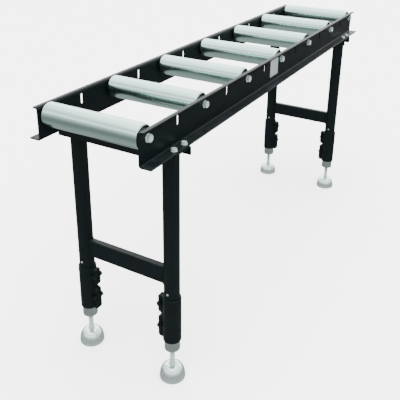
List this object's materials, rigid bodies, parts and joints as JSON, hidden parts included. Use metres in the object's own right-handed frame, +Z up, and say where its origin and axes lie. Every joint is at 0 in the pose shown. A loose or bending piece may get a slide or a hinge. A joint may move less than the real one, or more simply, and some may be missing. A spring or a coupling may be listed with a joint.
{
  "type": "gravity roller conveyor",
  "caption": "Free-standing gravity roller conveyor: slotted channel rails carry free-turning rollers on H-stands with clamped telescopic legs and screw levelling feet.",
  "frame": {"origin": "on the floor under the middle of the conveyor", "axes": "+X along the rails, +Y across to the back rail, +Z up"},
  "size_m": [1.564, 0.35, 0.776],
  "materials": {
    "black_powder_coat": "semi-gloss black powder coat",
    "roller_steel": "satin zinc-plated steel tube",
    "bearing_housing": "dark end housing",
    "zinc_plate": "zinc-plated steel",
    "bright_foot": "bright plated",
    "label_foil": "blank foil label"
  },
  "bodies": {
    "frame": {"rail_front": "black_powder_coat", "rail_back": "black_powder_coat", "label_plate": "label_foil", "axle_1": "zinc_plate", "axle_2": "zinc_plate", "axle_3": "zinc_plate", "axle_4": "zinc_plate", "axle_5": "zinc_plate", "axle_6": "zinc_plate", "axle_7": "zinc_plate", "stand_channel_left": "black_powder_coat", "crossbar_left": "black_powder_coat", "stand_channel_right": "black_powder_coat", "crossbar_right": "black_powder_coat", "leg_tube_left_front": "black_powder_coat", "lock_screw_left_front": "zinc_plate", "clamp_sleeve_left_front": "black_powder_coat", "leg_tube_left_back": "black_powder_coat", "lock_screw_left_back": "zinc_plate", "clamp_sleeve_left_back": "black_powder_coat", "leg_tube_right_front": "black_powder_coat", "lock_screw_right_front": "zinc_plate", "clamp_sleeve_right_front": "black_powder_coat", "leg_tube_right_back": "black_powder_coat", "lock_screw_right_back": "zinc_plate", "clamp_sleeve_right_back": "black_powder_coat"},
    "roller_1": {"roller_tube_1": "roller_steel", "end_cap_front_1": "bearing_housing", "end_cap_back_1": "bearing_housing"},
    "roller_2": {"roller_tube_2": "roller_steel", "end_cap_front_2": "bearing_housing", "end_cap_back_2": "bearing_housing"},
    "roller_3": {"roller_tube_3": "roller_steel", "end_cap_front_3": "bearing_housing", "end_cap_back_3": "bearing_housing"},
    "roller_4": {"roller_tube_4": "roller_steel", "end_cap_front_4": "bearing_housing", "end_cap_back_4": "bearing_housing"},
    "roller_5": {"roller_tube_5": "roller_steel", "end_cap_front_5": "bearing_housing", "end_cap_back_5": "bearing_housing"},
    "roller_6": {"roller_tube_6": "roller_steel", "end_cap_front_6": "bearing_housing", "end_cap_back_6": "bearing_housing"},
    "roller_7": {"roller_tube_7": "roller_steel", "end_cap_front_7": "bearing_housing", "end_cap_back_7": "bearing_housing"},
    "inner_leg_left_front": {"inner_leg_left_front": "zinc_plate"},
    "foot_pad_left_front": {"foot_pad_left_front": "bright_foot"},
    "foot_rod_left_front": {"foot_rod_left_front": "zinc_plate"},
    "inner_leg_left_back": {"inner_leg_left_back": "zinc_plate"},
    "foot_pad_left_back": {"foot_pad_left_back": "bright_foot"},
    "foot_rod_left_back": {"foot_rod_left_back": "zinc_plate"},
    "inner_leg_right_front": {"inner_leg_right_front": "zinc_plate"},
    "foot_pad_right_front": {"foot_pad_right_front": "bright_foot"},
    "foot_rod_right_front": {"foot_rod_right_front": "zinc_plate"},
    "inner_leg_right_back": {"inner_leg_right_back": "zinc_plate"},
    "foot_pad_right_back": {"foot_pad_right_back": "bright_foot"},
    "foot_rod_right_back": {"foot_rod_right_back": "zinc_plate"}
  },
  "joints": [
    {"name": "roller_1_spin", "type": "hinge", "parent": "frame", "child": "roller_1", "pos_m": [-0.75, 0, 0.746], "axis": [0, 1, 0], "continuous": true},
    {"name": "roller_2_spin", "type": "hinge", "parent": "frame", "child": "roller_2", "pos_m": [-0.5, 0, 0.746], "axis": [0, 1, 0], "continuous": true},
    {"name": "roller_3_spin", "type": "hinge", "parent": "frame", "child": "roller_3", "pos_m": [-0.25, 0, 0.746], "axis": [0, 1, 0], "continuous": true},
    {"name": "roller_4_spin", "type": "hinge", "parent": "frame", "child": "roller_4", "pos_m": [0, 0, 0.746], "axis": [0, 1, 0], "continuous": true},
    {"name": "roller_5_spin", "type": "hinge", "parent": "frame", "child": "roller_5", "pos_m": [0.25, 0, 0.746], "axis": [0, 1, 0], "continuous": true},
    {"name": "roller_6_spin", "type": "hinge", "parent": "frame", "child": "roller_6", "pos_m": [0.5, 0, 0.746], "axis": [0, 1, 0], "continuous": true},
    {"name": "roller_7_spin", "type": "hinge", "parent": "frame", "child": "roller_7", "pos_m": [0.75, 0, 0.746], "axis": [0, 1, 0], "continuous": true},
    {"name": "leg_slide_left_front", "type": "slide", "parent": "frame", "child": "inner_leg_left_front", "axis": [0, 0, -1], "range_m": [0, 0.14]},
    {"name": "foot_level_left_front", "type": "slide", "parent": "inner_leg_left_front", "child": "foot_pad_left_front", "axis": [0, 0, -1], "range_m": [-0.02, 0.03]},
    {"name": "rod_turn_left_front", "type": "hinge", "parent": "foot_pad_left_front", "child": "foot_rod_left_front", "pos_m": [-0.65, -0.14, 0.1], "axis": [0, 0, -1], "range_deg": [-3600, 5400]},
    {"name": "leg_slide_left_back", "type": "slide", "parent": "frame", "child": "inner_leg_left_back", "axis": [0, 0, -1], "range_m": [0, 0.14]},
    {"name": "foot_level_left_back", "type": "slide", "parent": "inner_leg_left_back", "child": "foot_pad_left_back", "axis": [0, 0, -1], "range_m": [-0.02, 0.03]},
    {"name": "rod_turn_left_back", "type": "hinge", "parent": "foot_pad_left_back", "child": "foot_rod_left_back", "pos_m": [-0.65, 0.14, 0.1], "axis": [0, 0, -1], "range_deg": [-3600, 5400]},
    {"name": "leg_slide_right_front", "type": "slide", "parent": "frame", "child": "inner_leg_right_front", "axis": [0, 0, -1], "range_m": [0, 0.14]},
    {"name": "foot_level_right_front", "type": "slide", "parent": "inner_leg_right_front", "child": "foot_pad_right_front", "axis": [0, 0, -1], "range_m": [-0.02, 0.03]},
    {"name": "rod_turn_right_front", "type": "hinge", "parent": "foot_pad_right_front", "child": "foot_rod_right_front", "pos_m": [0.65, -0.14, 0.1], "axis": [0, 0, -1], "range_deg": [-3600, 5400]},
    {"name": "leg_slide_right_back", "type": "slide", "parent": "frame", "child": "inner_leg_right_back", "axis": [0, 0, -1], "range_m": [0, 0.14]},
    {"name": "foot_level_right_back", "type": "slide", "parent": "inner_leg_right_back", "child": "foot_pad_right_back", "axis": [0, 0, -1], "range_m": [-0.02, 0.03]},
    {"name": "rod_turn_right_back", "type": "hinge", "parent": "foot_pad_right_back", "child": "foot_rod_right_back", "pos_m": [0.65, 0.14, 0.1], "axis": [0, 0, -1], "range_deg": [-3600, 5400]}
  ],
  "couplings": [
    {"joint": "rod_turn_left_front", "follows": "foot_level_left_front", "rad_per_m": 3141.6},
    {"joint": "rod_turn_left_back", "follows": "foot_level_left_back", "rad_per_m": 3141.6},
    {"joint": "rod_turn_right_front", "follows": "foot_level_right_front", "rad_per_m": 3141.6},
    {"joint": "rod_turn_right_back", "follows": "foot_level_right_back", "rad_per_m": 3141.6}
  ]
}
